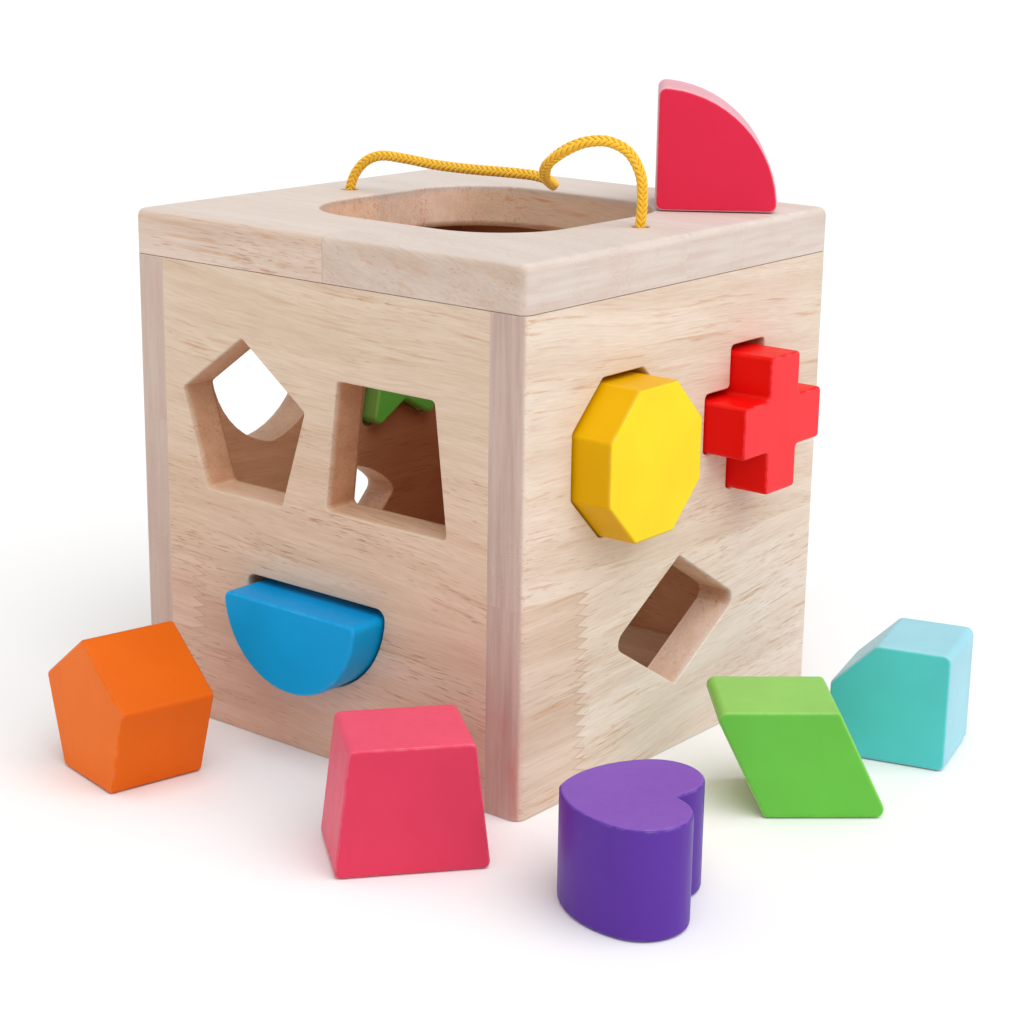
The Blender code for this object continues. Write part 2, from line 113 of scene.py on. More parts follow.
def tinted(tree, colour, tint):
    return mix(tree, 1.0, colour, tint, "MULTIPLY")


def noise(tree, vector, scale, detail=3.0, roughness=0.5):
    node = add(tree, "TexNoise", {"Vector": vector, "Scale": scale, "Detail": detail,
                                  "Roughness": roughness})
    return node.outputs["Fac"]


def rescale(tree, value, low, high, to_low=0.0, to_high=1.0):
    """A smooth step of value from low to high."""
    node = add(tree, "MapRange", {"Value": value, "From Min": low, "From Max": high,
                                  "To Min": to_low, "To Max": to_high},
               interpolation_type="SMOOTHSTEP")
    return node.outputs[0]


def spread(tree, noise_value, low, high):
    """A noise's usual range, 0.3 to 0.7, made to run from low to high."""
    node = add(tree, "MapRange", {"Value": noise_value, "From Min": 0.3, "From Max": 0.7,
                                  "To Min": low, "To Max": high})
    return node.outputs[0]


def combine(tree, x, y, z):
    return add(tree, "CombineXYZ", {0: x, 1: y, 2: z}).outputs[0]


def scaled(tree, axes, scales):
    return combine(tree, *(product(tree, axis, scale) for axis, scale in zip(axes, scales)))


def place_in_mm(tree):
    """The piece's own coordinates, in mm."""
    node = add(tree, "VectorMath", {0: add(tree, "TexCoord").outputs["Object"], 3: 1 / MM},
               operation="SCALE")
    return node.outputs[0]


def new_material(name):
    material = bpy.data.materials.new(name)
    material.use_nodes = True
    tree = material.node_tree
    return material, tree, tree.nodes["Principled BSDF"]


def edge_mask(tree, radius):
    """1 on convex and concave edges, 0 on flats."""
    rounded = add(tree, "Bevel", {"Radius": radius}, samples=4).outputs[0]
    flat = add(tree, "NewGeometry").outputs["True Normal"]
    together = add(tree, "VectorMath", {0: rounded, 1: flat}, operation="DOT_PRODUCT").outputs[1]
    return rescale(tree, together, 0.995, 0.86)


# ---------------------------------------------------------------- wood

# Along, up across the face, and through the board, as indices into x, y, z
GRAIN = {
    "front_wall": (0, 2, 1),
    "back_wall": (0, 2, 1),
    "right_wall": (1, 2, 0),
    "left_wall": (1, 2, 0),
    "lid": (0, 1, 2),
    "floor_panel": (0, 1, 2),
}

# Colours at the low, middle and high part of each board, with the places across it in mm
# Besides the wood's own tone they hold painted light and shade: the front, back and left walls
# darken towards the bottom as painted shade, and the right wall's lower parts are lifted as painted
# light.
TONES_WITH_LIGHT_AND_SHADE = {
    "front_wall": (
        (12, 0.72, 0.520, 0.412), (68, 0.745, 0.570, 0.430), (116, 0.750, 0.610, 0.475)),
    "right_wall": (
        (12, 0.79, 0.670, 0.585), (68, 0.81, 0.680, 0.575), (116, 0.780, 0.665, 0.560)),
    "back_wall": (
        (12, 0.70, 0.540, 0.420), (68, 0.76, 0.590, 0.450), (116, 0.80, 0.650, 0.510)),
    "left_wall": (
        (12, 0.68, 0.500, 0.400), (68, 0.74, 0.570, 0.440), (116, 0.80, 0.640, 0.510)),
    "lid": (
        (-60, 0.70, 0.620, 0.570), (0, 0.69, 0.615, 0.565), (60, 0.70, 0.610, 0.550)),
    "floor_panel": (
        (-60, 0.74, 0.580, 0.430), (0, 0.76, 0.600, 0.450), (60, 0.78, 0.630, 0.480)),
}

# The pale and the dark stripes of the end grain, where it shows
END_TONES = {
    "right_wall": ((0.60, 0.450, 0.385), (0.50, 0.355, 0.300)),
    "left_wall": ((0.63, 0.510, 0.440), (0.58, 0.450, 0.385)),
    "lid": ((0.72, 0.630, 0.570), (0.66, 0.555, 0.490)),
}

# Staves glued into each board: limits along and across in mm, seed, tint, slope of the grain.
# A limit of FAR is the board's own edge.  Between two walls' staves are finger joints, and
# between the lid's are plain ones.
FAR = 999
STAVES = {
    "front_wall": (
        # The first front stave is paler, partly in its own tone and partly as painted light against
        # the orange block's shadow below it.
        (-FAR, -48, 25, 51, 3.0, (1.06, 1.08, 1.11), 0.02),
        (-48, FAR, -FAR, 51, 4.0, (1.01, 1.0, 1.0), 0.05),
    ),
    "right_wall": (
        (-FAR, -45, -FAR, 61, 5.0, (0.95, 0.89, 0.85), -0.02),
        (-45, FAR, -FAR, 61, 6.0, (1.04, 1.05, 1.07), -0.06),
    ),
    "back_wall": (
        (-FAR, FAR, 96, FAR, 7.0, (0.98, 0.95, 0.95), 0.03),
        (-FAR, 22, -FAR, 46, 8.0, (1.0, 1.0, 0.98), -0.02),
    ),
    "left_wall": (
        (-FAR, FAR, 92, FAR, 9.0, (1.0, 1.0, 1.0), 0.02),
        (12, FAR, -FAR, 92, 10.0, (0.97, 0.93, 0.92), 0.0),
    ),
    "lid": (
        (2.3, FAR, -FAR, -2.1, 11.0, (0.97, 0.91, 0.85), 0.20),
        (-FAR, 2.3, -FAR, -2.1, 12.0, (1.07, 0.98, 0.90), 0.02),
        (-FAR, FAR, 53.3, FAR, 13.0, (1.02, 0.99, 0.97), 0.03),
    ),
    "floor_panel": (
        (-FAR, FAR, 18, FAR, 14.0, (0.98, 0.95, 0.94), 0.0),
        (-FAR, 8, -FAR, -24, 15.0, (1.0, 1.0, 1.0), 0.02),
    ),
}
FIRST_SEED = 1.0
FIRST_SLOPE = 0.06
FINGER_PITCH = 3.3
FINGER_DEPTH = 5.4
FINGER_SLOPE = 2 * FINGER_DEPTH / FINGER_PITCH
JOINT_LINE = (0.34, 0.08)

# How dark the pores are
PORE_STRENGTH = {
    "front_wall": 0.68,
    "back_wall": 0.60,
    "right_wall": 0.38,
    "left_wall": 0.60,
    "lid": 0.58,
    "floor_panel": 0.60,
}

# Noise scales per mm: along the grain, up across it, and through the board
BAND_SCALE = (0.005, 0.11, 0.11)
FIBRE_SCALE = (0.055, 1.7, 1.7)
STREAK_SCALE = (0.028, 0.85, 0.5)
PORE_SCALE = (0.10, 2.6, 2.6)
GRAIN_WANDER = 15.0

JOINT_BROWN = (0.50, 0.33, 0.23, 1)
STREAK_BROWN = (0.62, 0.37, 0.22, 1)
PORE_BROWN = (0.44, 0.22, 0.13, 1)
END_PORE_BROWN = (0.42, 0.22, 0.14, 1)
END_STAIN = (0.56, 0.20, 0.16, 1)
# Painted sheen: the paler, greyer colour the lid's upward faces take.
LID_TOP_SHEEN = (0.72, 0.665, 0.625, 1)
# Edges: partly rubbed wear and partly a painted highlight.
RUBBED_AND_HIGHLIT_EDGE = (0.84, 0.72, 0.62, 1)

# Tints that multiply the wood's colour
PALE_BAND = (1.04, 1.035, 1.03, 1)
TAN_BAND = (0.93, 0.87, 0.82, 1)
PALE_FIBRE = (1.035, 1.035, 1.035, 1)
DARK_FIBRE = (0.94, 0.92, 0.90, 1)
# Painted shade: the hole and opening tints darken and warm the wood down the holes, the end tints
# then change the end grain there, and the inner face tints are painted light and shade across the
# walls' inner faces.
HOLE_SHADE_TINT = (1.0, 0.82, 0.69, 1)
HOLE_END_TINT = (0.78, 0.62, 0.53, 1)
OPENING_SHADE_TINT = (1.12, 0.93, 0.76, 1)
OPENING_END_TINT = (1.18, 1.20, 1.30, 1)
INNER_FACE_PAINTED_LIGHT = (1.15, 1.12, 1.05, 1)
INNER_FACE_PAINTED_SHADE = (0.62, 0.40, 0.28, 1)

# The plane of each board's outer face on its through axis, in mm
HALF_BOX = 75
OUTER_FACE = {
    "front_wall": -HALF_BOX,
    "back_wall": HALF_BOX,
    "right_wall": HALF_BOX,
    "left_wall": -HALF_BOX,
    "lid": 155.5,
    "floor_panel": 0,
}


def stave_masks(tree, along, across, limits, fingers):
    """1 inside a stave's limits, and 1 on the thin line of the joint at its inner end."""
    low, high, bottom, top = limits
    mask = 1.0
    line = 0.0
    zigzag = 0.0
    steep = 1.0
    if fingers:
        zigzag = product(tree, maths(tree, "PINGPONG", across, FINGER_PITCH / 2), FINGER_SLOPE)
        steep = FINGER_SLOPE
    shifted = maths(tree, "ADD", along, zigzag)
    for limit, side in ((low, 1), (high, -1)):
        if abs(limit) < FAR:
            beyond = product(tree, maths(tree, "SUBTRACT", shifted, limit), side)
            mask = product(tree, mask, maths(tree, "GREATER_THAN", beyond, 0.0))
            away = product(tree, maths(tree, "ABSOLUTE", beyond), 1 / steep)
            line = rescale(tree, away, *JOINT_LINE)
    in_height = 1.0
    for limit, side in ((bottom, 1), (top, -1)):
        if abs(limit) < FAR:
            beyond = product(tree, maths(tree, "SUBTRACT", across, limit), side)
            in_height = product(tree, in_height, maths(tree, "GREATER_THAN", beyond, 0.0))
    return product(tree, mask, in_height), product(tree, line, in_height)


def stave_looks(tree, board, along, across):
    """The board's colour before its grain, and the seed and slope of the grain in each stave."""
    low, middle, high = TONES_WITH_LIGHT_AND_SHADE[board]
    colour = mix(tree, rescale(tree, across, low[0], middle[0]), (*low[1:], 1), (*middle[1:], 1))
    colour = mix(tree, rescale(tree, across, middle[0], high[0]), colour, (*high[1:], 1))
    seed = FIRST_SEED
    slope = FIRST_SLOPE
    for *limits, stave_seed, tint, stave_slope in STAVES[board]:
        mask, line = stave_masks(tree, along, across, limits, board != "lid")
        seed = add(tree, "Mix", {0: mask, 2: seed, 3: stave_seed}).outputs[0]
        colour = mix(tree, mask, colour, tinted(tree, colour, (*tint, 1)))
        colour = mix(tree, product(tree, line, 0.22), colour, JOINT_BROWN)
        slope = add(tree, "Mix", {0: mask, 2: slope, 3: stave_slope}).outputs[0]
    return colour, seed, slope


def grain_axes(tree, along, across, through, seed, slope):
    """The grain's own coordinates: tilted, gently wavy, and different in every stave."""
    slow = combine(tree, product(tree, along, 0.007), product(tree, across, 0.016),
                   maths(tree, "MULTIPLY_ADD", through, 0.02, seed))
    wave = maths(tree, "SUBTRACT", noise(tree, slow, 1.0, 1.0), 0.5)
    wander = product(tree, wave, GRAIN_WANDER)
    tilt = product(tree, along, slope)
    length = maths(tree, "MULTIPLY_ADD", seed, 57.0, along)
    row = maths(tree, "ADD", maths(tree, "ADD", across, wander), tilt)
    depth = maths(tree, "ADD", maths(tree, "MULTIPLY_ADD", seed, 31.0, through), tilt)
    return length, row, depth


def pore_maps(tree, board, across, axes, seed):
    """Pores, which are short thin dashes, and how crowded they are.  Few are near the top."""
    crowd_place = combine(tree, product(tree, axes[0], 0.016), product(tree, axes[1], 0.09),
                          maths(tree, "ADD", seed, 4.0))
    crowd = noise(tree, crowd_place, 1.0, 2.0)
    _, middle, high = TONES_WITH_LIGHT_AND_SHADE[board]
    rare = product(tree, rescale(tree, across, middle[0] + 20, high[0] + 4), 0.09)
    bar = maths(tree, "ADD", rescale(tree, crowd, 0.38, 0.62, 0.72, 0.585), rare)
    dashes = noise(tree, scaled(tree, axes, PORE_SCALE), 1.0, 1.0, 0.4)
    pores = maths(tree, "MULTIPLY", maths(tree, "SUBTRACT", dashes, bar), 10.0, clamp=True)
    return pores, crowd


def end_grain_colour(tree, board, across, through, seed, pores):
    """Striped end grain with a red brown stain, which is strongest low on the right wall."""
    pale, dark = END_TONES[board]
    stripe_place = combine(tree, product(tree, through, 0.50), product(tree, across, 0.022), seed)
    stripes = noise(tree, stripe_place, 1.0, 4.0, 0.6)
    colour = mix(tree, rescale(tree, stripes, 0.35, 0.65), (*pale, 1), (*dark, 1))
    stain_place = combine(tree, product(tree, through, 0.22), product(tree, across, 0.04),
                          maths(tree, "ADD", seed, 9.0))
    stain = rescale(tree, noise(tree, stain_place, 1.0, 4.0, 0.6), 0.42, 0.66)
    strength = rescale(tree, across, 60.0, 6.0, 0.0, 0.6) if board == "right_wall" else 0.12
    colour = mix(tree, product(tree, stain, strength), colour, END_STAIN)
    return mix(tree, product(tree, pores, 0.3), colour, END_PORE_BROWN)


def at_limit(tree, coordinate):
    """1 on the last millimetres before the box's sides."""
    return rescale(tree, maths(tree, "ABSOLUTE", coordinate), HALF_BOX - 3, HALF_BOX - 1)


def shade_inside(tree, board, body, position, end_grain, upwards):
    """Painted shade: wood is drawn warmer and darker down the holes, and the inner faces get painted
    light and shade across them.
    """
    along, across, through = position
    depth_in = maths(tree, "ABSOLUTE", maths(tree, "SUBTRACT", through, OUTER_FACE[board]))
    rim = at_limit(tree, along)
    if board == "lid":
        rim = maths(tree, "MAXIMUM", rim, at_limit(tree, across))
    off_rim = maths(tree, "SUBTRACT", 1.0, rim)
    inside = product(tree, rescale(tree, depth_in, 0.5, 3.0), off_rim)
    inside = product(tree, inside, maths(tree, "SUBTRACT", 1.0, product(tree, upwards, 0.5)))
    side_tint, end_tint = HOLE_SHADE_TINT, HOLE_END_TINT
    if board == "lid":
        side_tint, end_tint = OPENING_SHADE_TINT, OPENING_END_TINT
    warm = tinted(tree, body, side_tint)
    cut = mix(tree, product(tree, end_grain, 0.75), warm, tinted(tree, warm, end_tint))
    body = mix(tree, inside, body, cut)
    if board == "lid":
        return body
    inner_face = product(tree, rescale(tree, depth_in, 11.0, 12.0), off_rim)
    if board == "left_wall":
        way = rescale(tree, along, -45.0, 38.0)
    else:
        way = rescale(tree, across, 25.0, 95.0)
    shade = mix(tree, way, INNER_FACE_PAINTED_LIGHT, INNER_FACE_PAINTED_SHADE)
    return mix(tree, inner_face, body, tinted(tree, body, shade))


def make_wood(board):
    """Pale hardwood: faint growth bands, fine fibre, short brown pores, staves and end grain."""
    material, tree, shader = new_material(board + "_wood")
    xyz = add(tree, "SeparateXYZ", {0: place_in_mm(tree)}).outputs
    position = along, across, through = [xyz[index] for index in GRAIN[board]]
    normal = add(tree, "SeparateXYZ", {0: add(tree, "TexCoord").outputs["Normal"]}).outputs
    upwards = maths(tree, "MAXIMUM", normal[2], 0.0)
    along_normal = maths(tree, "ABSOLUTE", normal[GRAIN[board][0]])
    end_grain = rescale(tree, along_normal, 0.55, 0.85)

    colour, seed, slope = stave_looks(tree, board, along, across)
    axes = grain_axes(tree, along, across, through, seed, slope)
    bands = noise(tree, scaled(tree, axes, BAND_SCALE), 1.0, 5.0, 0.6)
    fibre = noise(tree, scaled(tree, axes, FIBRE_SCALE), 1.0, 4.0, 0.6)
    streak_noise = noise(tree, scaled(tree, axes, STREAK_SCALE), 1.0, 3.0, 0.6)
    streaks = rescale(tree, streak_noise, 0.54, 0.70)
    pores, crowd = pore_maps(tree, board, across, axes, seed)

    body = mix(tree, rescale(tree, bands, 0.36, 0.66), tinted(tree, colour, PALE_BAND),
               tinted(tree, colour, TAN_BAND))
    body = tinted(tree, body, mix(tree, rescale(tree, fibre, 0.3, 0.7), PALE_FIBRE, DARK_FIBRE))
    warm_lines = product(tree, streaks, rescale(tree, crowd, 0.36, 0.62, 0.24, 0.82))
    body = mix(tree, warm_lines, body, STREAK_BROWN)
    body = mix(tree, product(tree, pores, PORE_STRENGTH[board]), body, PORE_BROWN)
    if board in END_TONES:
        at_end = product(tree, product(tree, end_grain, at_limit(tree, along)), 0.9)
        end_colour = end_grain_colour(tree, board, across, through, seed, pores)
        body = mix(tree, at_end, body, end_colour)
    # Painted sheen: the lid's upward faces are drawn paler and greyer.
    if board == "lid":
        lid_top_sheen_mask = product(tree, rescale(tree, upwards, 0.5, 0.95), 0.55)
        body = mix(tree, lid_top_sheen_mask, body, LID_TOP_SHEEN)
    body = shade_inside(tree, board, body, position, end_grain, upwards)
    # Edges drawn paler: partly rubbed wear and partly a painted highlight.
    body = mix(tree, product(tree, edge_mask(tree, 0.9 * MM), 0.16), body, RUBBED_AND_HIGHLIT_EDGE)
    tree.links.new(body, shader.inputs["Base Color"])

    tree.links.new(spread(tree, fibre, 0.52, 0.68), shader.inputs["Roughness"])
    relief = maths(tree, "SUBTRACT", product(tree, fibre, 0.35), pores)
    bump = add(tree, "Bump", {"Height": relief, "Strength": 0.35, "Distance": 0.08 * MM})
    tree.links.new(bump.outputs[0], shader.inputs["Normal"])
    shader.inputs["Specular IOR Level"].default_value = 0.25
    return material


# ---------------------------------------------------------------- paint

# Colour of the two shaped faces, and of the faces between them
# The faces between carry painted light and shade: paler as a painted reflection on pink, blue,
# green, crimson and teal, darker as painted shade on orange, yellow, red and purple.
PAINTS = {
    "orange": ((0.90, 0.170, 0.002), (0.76, 0.133, 0.004)),
    "pink": ((0.72, 0.048, 0.105), (0.82, 0.090, 0.165)),
    "blue": ((0.003, 0.335, 0.760), (0.003, 0.380, 0.780)),
    "yellow": ((0.97, 0.715, 0.014), (0.79, 0.435, 0.001)),
    "red": ((0.95, 0.040, 0.050), (0.81, 0.005, 0.003)),
    "green": ((0.150, 0.550, 0.068), (0.280, 0.620, 0.130)),
    "purple": ((0.224, 0.092, 0.472), (0.112, 0.037, 0.338)),
    "crimson": ((0.81, 0.027, 0.076), (0.86, 0.430, 0.490)),
    "teal": ((0.110, 0.640, 0.660), (0.345, 0.690, 0.790)),
}
PAINT_DARKER = (0.95, 0.93, 0.94, 1)
PAINT_GRAIN_STRETCH = (0.30, 0.30, 0.06)
WHITE = (1, 1, 1, 1)


def flat_way(node):
    """The direction its two shaped faces look in, found as its largest flat face's."""
    areas = {}
    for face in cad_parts[node].data.polygons:
        plane = (*(round(part, 2) for part in face.normal), round(face.normal.dot(face.center), 4))
        areas.setdefault(plane, [0.0, face.normal.copy()])[0] += face.area
    return max(areas.values(), key=lambda entry: entry[0])[1]


def make_paint(node, paint):
    """Satin paint on wood: a little grain shows through, the side faces carry painted light and
    shade, and the edges are lighter, partly rubbed and partly a painted highlight.
    """
    material, tree, shader = new_material(node + "_paint")
    place = place_in_mm(tree)
    stretched = add(tree, "VectorMath", {0: place, 1: PAINT_GRAIN_STRETCH},
                    operation="MULTIPLY").outputs[0]
    patches = noise(tree, place, 0.05, 2.0)
    grain = noise(tree, stretched, 1.4, 4.0, 0.6)
    orange_peel = noise(tree, place, 1.6, 2.0)
    facing = add(tree, "VectorMath", {0: add(tree, "TexCoord").outputs["Normal"], 1: flat_way(node)},
                 operation="DOT_PRODUCT").outputs["Value"]
    on_face = rescale(tree, maths(tree, "ABSOLUTE", facing), 0.60, 0.95)
    face_colour, side_colour = ((*colour, 1) for colour in PAINTS[paint])
    # The side colour holds painted light and shade.
    base = mix(tree, on_face, side_colour, face_colour)
    darker = tinted(tree, base, PAINT_DARKER)
    lighter = mix(tree, 0.36, base, WHITE)
    tone = mix(tree, rescale(tree, patches, 0.3, 0.7), darker, base)
    tone = mix(tree, product(tree, rescale(tree, grain, 0.50, 0.72), 0.30), tone, darker)
    # Ragged lighter edges: partly rubbed wear and partly a painted highlight.
    wear_and_highlight = rescale(tree, noise(tree, place, 0.35, 4.0, 0.65), 0.40, 0.62)
    edges = product(tree, edge_mask(tree, 0.7 * MM), wear_and_highlight)
    tone = mix(tree, product(tree, edges, 0.95), tone, lighter)
    tree.links.new(tone, shader.inputs["Base Color"])
    tree.links.new(spread(tree, grain, 0.30, 0.42), shader.inputs["Roughness"])
    height = maths(tree, "MULTIPLY_ADD", grain, 0.6, product(tree, orange_peel, 0.5))
    bump = add(tree, "Bump", {"Height": height, "Strength": 0.22, "Distance": 0.10 * MM})
    tree.links.new(bump.outputs[0], shader.inputs["Normal"])
    shader.inputs["Specular IOR Level"].default_value = 0.10
    return material


# ---------------------------------------------------------------- smooth copies of CAD nodes

WELD_DISTANCE = 0.002 * MM
FLAT_ANGLE = math.radians(0.3)
SHARP_ANGLE = math.radians(42)


def refined(node, body, material, reshape=None):
    """A welded, smoothly shaded copy of a CAD node, which it replaces."""
    bm = bmesh.new()
    bm.from_mesh(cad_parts[node].data)
    bmesh.ops.remove_doubles(bm, verts=bm.verts, dist=WELD_DISTANCE)
    bmesh.ops.dissolve_limit(bm, angle_limit=FLAT_ANGLE, verts=bm.verts, edges=bm.edges)
    if reshape:
        for vertex in bm.verts:
            reshape(vertex.co)
    bm.verts.index_update()
    mesh = bpy.data.meshes.new(node + "_look")
    faces = [[vertex.index for vertex in face.verts] for face in bm.faces]
    mesh.from_pydata([vertex.co.copy() for vertex in bm.verts], [], faces)
    bm.free()
    mesh.shade_smooth()
    mesh.set_sharp_from_angle(angle=SHARP_ANGLE)
    mesh.materials.append(material)
    piece = bpy.data.objects.new(node + "_look", mesh)
    bpy.context.scene.collection.objects.link(piece)
    weighted = piece.modifiers.new("weighted normals", "WEIGHTED_NORMAL")
    weighted.keep_sharp = True
    weighted.weight = 80
    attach(piece, body)
    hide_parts(node)


# The CAD's gap between neighbours, and the thinner glue lines that replace it
CAD_GAP = 0.3 * MM
SIDE_GLUE_LINE = 0.04 * MM
TOP_GLUE_LINE = 0.12 * MM
SAME_PLACE = 0.1 * MM
LID_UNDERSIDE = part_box("lid")[0].z
SIDE_WALL_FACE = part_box("right_wall")[0].x


def close_side_gap(point):
    """Moves a board's ends out to the side walls."""
    if abs(abs(point.x) - (SIDE_WALL_FACE - CAD_GAP)) < SAME_PLACE:
        point.x = math.copysign(SIDE_WALL_FACE - SIDE_GLUE_LINE, point.x)


def close_top_gap(point):
    """Moves a wall's top edge up to just under the lid."""
    if abs(point.z - (LID_UNDERSIDE - CAD_GAP)) < SAME_PLACE:
        point.z = LID_UNDERSIDE - TOP_GLUE_LINE


def close_both_gaps(point):
    close_side_gap(point)
    close_top_gap(point)


BOARD_GAPS = {
    "front_wall": close_both_gaps,
    "back_wall": close_both_gaps,
    "right_wall": close_top_gap,
    "left_wall": close_top_gap,
    "lid": None,
    "floor_panel": close_side_gap,
}


def make_boards():
    for node, reshape in BOARD_GAPS.items():
        refined(node, BOX, make_wood(node), reshape)


BLOCKS = {
    "pentagon": "orange",
    "trapezoid": "pink",
    "semicircle": "blue",
    "octagon": "yellow",
    "cross": "red",
    "rhombus": "green",
    "quarter_circle": "crimson",
    "heart": "purple",
    "star": "green",
    "cut_corner": "teal",
    "triangle": "blue",
    "round": "orange",
}


def make_blocks():
    for shape, paint in BLOCKS.items():
        node = shape + "_block"
        refined(node, node, make_paint(node, paint))


# ---------------------------------------------------------------- cord

CORD_ROUTE = (
    (-0.0570, 0.0000, 0.1420),
    (-0.0570, 0.0000, 0.1490),
    (-0.0568, 0.0000, 0.1555),
    (-0.0548, 0.0000, 0.1603),
    (-0.0510, 0.0006, 0.1646),
    (-0.0456, 0.0016, 0.1669),
    (-0.0364, 0.0032, 0.1667),
    (-0.0250, 0.0050, 0.1656),
    (-0.0120, 0.0070, 0.1652),
    (0.0005, 0.0090, 0.1652),
    (0.0100, 0.0106, 0.1649),
    (0.0160, 0.0094, 0.1642),
    (0.0210, 0.0052, 0.1638),
    (0.0246, -0.0006, 0.1650),
    (0.0274, -0.0070, 0.1678),
    (0.0316, -0.0114, 0.1720),
    (0.0376, -0.0116, 0.1764),
    (0.0434, -0.0092, 0.1792),
    (0.0492, -0.0060, 0.1796),
    (0.0542, -0.0030, 0.1768),
    (0.0572, -0.0010, 0.1706),
    (0.0574, 0.0000, 0.1630),
    (0.0570, 0.0000, 0.1555),
    (0.0570, 0.0000, 0.1490),
    (0.0570, 0.0000, 0.1420),
)
BRAID_STEP = 0.33 * MM
BRAID_PITCH = 10.8 * MM
BRAID_TURN = math.radians(90)
BRAID_FACES = Vector((0.60, -0.75, 0.27))
STRANDS_EACH_WAY = 6
STRAND_RING = 1.16 * MM
STRAND_WEAVE = 0.26 * MM
STRAND_WIDTH = 0.53 * MM
STRAND_THICKNESS = 0.34 * MM
STRAND_SIDES = 8
CORE_RADIUS = 1.05 * MM
CORE_SIDES = 12
CORE_STEP = 4
SIDE_DRIFT = 0.05
SPLINE_STEPS = 40


def spline_through(points, spacing):
    """Evenly spaced points on a smooth curve through points (centripetal Catmull-Rom)."""
    points = [Vector(point) for point in points]
    padded = [2 * points[0] - points[1]] + points + [2 * points[-1] - points[-2]]
    dense = []
    for p0, p1, p2, p3 in zip(padded, padded[1:], padded[2:], padded[3:]):
        t1 = (p1 - p0).length ** 0.5
        t2 = t1 + (p2 - p1).length ** 0.5
        t3 = t2 + (p3 - p2).length ** 0.5
        for step in range(SPLINE_STEPS):
            t = t1 + (t2 - t1) * step / SPLINE_STEPS
            a1 = p0 + (p1 - p0) * (t / t1)
            a2 = p1 + (p2 - p1) * ((t - t1) / (t2 - t1))
            a3 = p2 + (p3 - p2) * ((t - t2) / (t3 - t2))
            b1 = a1 + (a2 - a1) * (t / t2)
            b2 = a2 + (a3 - a2) * ((t - t1) / (t3 - t1))
            dense.append(b1 + (b2 - b1) * ((t - t1) / (t2 - t1)))
    dense.append(points[-1])
    travelled = [0.0]
    for start, end in zip(dense, dense[1:]):
        travelled.append(travelled[-1] + (end - start).length)
    count = round(travelled[-1] / spacing)
    chosen = []
    index = 0
    for step in range(count + 1):
        wanted = travelled[-1] * step / count
        while index < len(dense) - 2 and travelled[index + 1] < wanted:
            index += 1
        share = (wanted - travelled[index]) / (travelled[index + 1] - travelled[index])
        chosen.append(dense[index].lerp(dense[index + 1], share))
    return chosen


def frames_along(line):
    """(point, tangent, side, up) for each point.  side drifts round to where the braid's Vs face."""
    frames = []
    side = BRAID_FACES.copy()
    for index, point in enumerate(line):
        ahead = line[min(index + 1, len(line) - 1)]
        behind = line[max(index - 1, 0)]
        tangent = (ahead - behind).normalized()
        facing = BRAID_FACES - tangent * BRAID_FACES.dot(tangent)
        side = side - tangent * side.dot(tangent)
        side = (side.normalized() + SIDE_DRIFT * facing).normalized()
        frames.append((point, tangent, side, tangent.cross(side)))
    return frames


def add_tube(bm, rings):
    """A closed tube through rings of vertices."""
    for low, high in zip(rings, rings[1:]):
        for corner in range(len(low)):
            following = (corner + 1) % len(low)
            bm.faces.new((low[corner], low[following], high[following], high[corner]))
    bm.faces.new(rings[0][::-1])
    bm.faces.new(rings[-1])


def add_strand(bm, frames, start_angle, turn):
    """One strand of a braid: a helix that lies on top in two columns and under in two others."""
    rings = []
    for index, (point, tangent, side, up) in enumerate(frames):
        distance = index * BRAID_STEP
        angle = start_angle + turn * math.tau * distance / BRAID_PITCH
        radius = STRAND_RING + turn * STRAND_WEAVE * math.sin(2 * (angle - BRAID_TURN))
        outwards = side * math.cos(angle) + up * math.sin(angle)
        around = up * math.cos(angle) - side * math.sin(angle)
        heading = tangent + around * (turn * math.tau * STRAND_RING / BRAID_PITCH)
        width_way = outwards.cross(heading).normalized()
        middle = point + outwards * radius
        ring = []
        for corner in range(STRAND_SIDES):
            spin = math.tau * corner / STRAND_SIDES
            across = width_way * (STRAND_WIDTH * math.cos(spin))
            out = outwards * (STRAND_THICKNESS * math.sin(spin))
            ring.append(bm.verts.new(middle + (across + out)))
        rings.append(ring)
    add_tube(bm, rings)


def add_core(bm, frames):
    """The filling inside a braid, which closes the gaps between its strands."""
    rings = []
    for point, _, side, up in frames[::CORE_STEP] + frames[-1:]:
        ring = []
        for corner in range(CORE_SIDES):
            spin = math.tau * corner / CORE_SIDES
            outwards = side * math.cos(spin) + up * math.sin(spin)
            ring.append(bm.verts.new(point + outwards * CORE_RADIUS))
        rings.append(ring)
    add_tube(bm, rings)


def make_braid(name, line, material):
    frames = frames_along(line)
    bm = bmesh.new()
    for strand in range(STRANDS_EACH_WAY):
        angle = math.tau * strand / STRANDS_EACH_WAY
        add_strand(bm, frames, angle, 1)
        add_strand(bm, frames, angle, -1)
    add_core(bm, frames)
    bmesh.ops.recalc_face_normals(bm, faces=bm.faces)
    mesh = bpy.data.meshes.new(name)
    bm.to_mesh(mesh)
    bm.free()
    mesh.shade_smooth()
    mesh.materials.append(material)
    braid = bpy.data.objects.new(name, mesh)
    bpy.context.scene.collection.objects.link(braid)
    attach(braid, BOX)
    return braid


KNOT_WIDTH = 1.3 * MM
KNOT_RISE = 1.7 * MM
KNOT_STEPS = 150


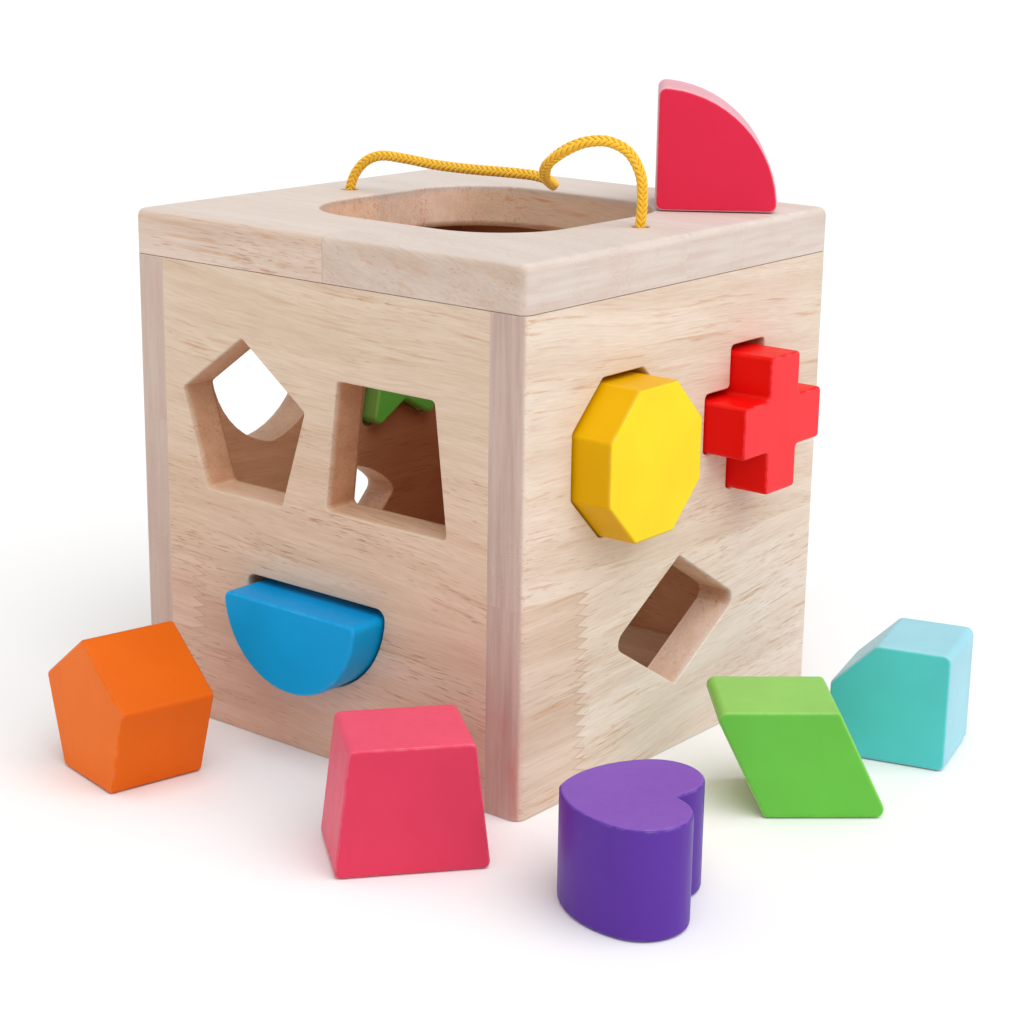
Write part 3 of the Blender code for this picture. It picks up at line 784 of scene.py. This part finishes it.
def knot_line(node):
    """A trefoil that fills the CAD knot's place under the lid."""
    low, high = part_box(node)
    centre = (low + high) / 2
    line = []
    for step in range(KNOT_STEPS + 1):
        t = math.tau * step / KNOT_STEPS
        line.append(centre + Vector((
            KNOT_WIDTH * (math.sin(t) + 2 * math.sin(2 * t)),
            KNOT_WIDTH * (math.cos(t) - 2 * math.cos(2 * t)),
            -KNOT_RISE * math.sin(3 * t),
        )))
    return line


# The first colour is painted shade, the darker orange down between the strands.
FIBRE_IN_SHADE = (0.97, 0.35, 0.003, 1)
FIBRE_YELLOW = (1.0, 0.585, 0.016, 1)
FIBRE_FUZZ = (1.0, 0.72, 0.09, 1)
FIBRE_ORANGE = (0.95, 0.45, 0.008, 1)


def make_cord_material():
    """Soft yellow orange fibre, with painted shade that makes it darker down between the strands."""
    material, tree, shader = new_material("cord_fibre")
    place = place_in_mm(tree)
    fuzz = noise(tree, place, 9.0, 3.0, 0.6)
    patches = noise(tree, place, 0.6, 3.0)
    occlusion = add(tree, "AmbientOcclusion", {"Distance": 0.6 * MM}, samples=4).outputs["AO"]
    # Painted shade from the occlusion between strands.
    shade = mix(tree, rescale(tree, occlusion, 0.25, 0.85), FIBRE_IN_SHADE, FIBRE_YELLOW)
    shade = mix(tree, product(tree, rescale(tree, fuzz, 0.45, 0.7), 0.35), shade, FIBRE_FUZZ)
    shade = mix(tree, product(tree, rescale(tree, patches, 0.4, 0.7), 0.15), shade, FIBRE_ORANGE)
    tree.links.new(shade, shader.inputs["Base Color"])
    shader.inputs["Roughness"].default_value = 0.62
    shader.inputs["Sheen Weight"].default_value = 0.25
    shader.inputs["Sheen Roughness"].default_value = 0.5
    bump = add(tree, "Bump", {"Height": fuzz, "Strength": 0.5, "Distance": 0.06 * MM})
    tree.links.new(bump.outputs[0], shader.inputs["Normal"])
    return material


def make_cord():
    material = make_cord_material()
    line = spline_through(CORD_ROUTE, BRAID_STEP)
    cord = make_braid("carry_cord_braid", line, material)
    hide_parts("carry_cord")
    for node in ("left_cord_knot", "right_cord_knot"):
        knot = make_braid(node + "_braid", knot_line(node), material)
        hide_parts(node)


# ---------------------------------------------------------------- stage and light

FLOOR_HALF_SIZE = 6.0
FLOOR_DROP = 0.2 * MM
FLOOR_WHITE = (0.93, 0.93, 0.93, 1)
BOX_MIDDLE = Vector((0, 0, 0.07))
WORLD_STRENGTH = 0.5
KEY_STRENGTH = 2.3
KEY_ANGLE = math.radians(75)
KEY_DIRECTION = Vector((-0.50, 0.07, -0.86))
FILL_PLACE = Vector((-1.45, -0.65, 0.45))
FILL_SIZE = 0.9
FILL_POWER = 2.2


def make_floor():
    bm = bmesh.new()
    bmesh.ops.create_grid(bm, x_segments=1, y_segments=1, size=FLOOR_HALF_SIZE)
    mesh = bpy.data.meshes.new("studio_floor")
    bm.to_mesh(mesh)
    bm.free()
    material, _, shader = new_material("studio_floor")
    shader.inputs["Base Color"].default_value = FLOOR_WHITE
    shader.inputs["Roughness"].default_value = 0.9
    shader.inputs["Specular IOR Level"].default_value = 0.1
    mesh.materials.append(material)
    floor = bpy.data.objects.new("studio_floor", mesh)
    bpy.context.scene.collection.objects.link(floor)
    floor.location.z = -FLOOR_DROP


def add_light(name, data, direction, place=(0, 0, 0)):
    light = bpy.data.objects.new(name, data)
    bpy.context.scene.collection.objects.link(light)
    light.location = place
    light.rotation_euler = direction.to_track_quat("-Z", "Y").to_euler()


def make_light():
    """A white studio: a very soft key from the right and above, and a softbox on the left."""
    world = bpy.data.worlds.new("studio")
    world.use_nodes = True
    background = world.node_tree.nodes["Background"]
    background.inputs["Color"].default_value = WHITE
    background.inputs["Strength"].default_value = WORLD_STRENGTH
    bpy.context.scene.world = world
    key = bpy.data.lights.new("key_light", "SUN")
    key.energy = KEY_STRENGTH
    key.angle = KEY_ANGLE
    add_light("key_light", key, KEY_DIRECTION)
    fill = bpy.data.lights.new("fill_light", "AREA")
    fill.shape = "SQUARE"
    fill.size = FILL_SIZE
    fill.energy = FILL_POWER
    add_light("fill_light", fill, BOX_MIDDLE - FILL_PLACE, FILL_PLACE)
    bpy.context.scene.view_settings.view_transform = "Standard"


make_camera()
make_cord()
make_boards()
make_blocks()
make_floor()
make_light()
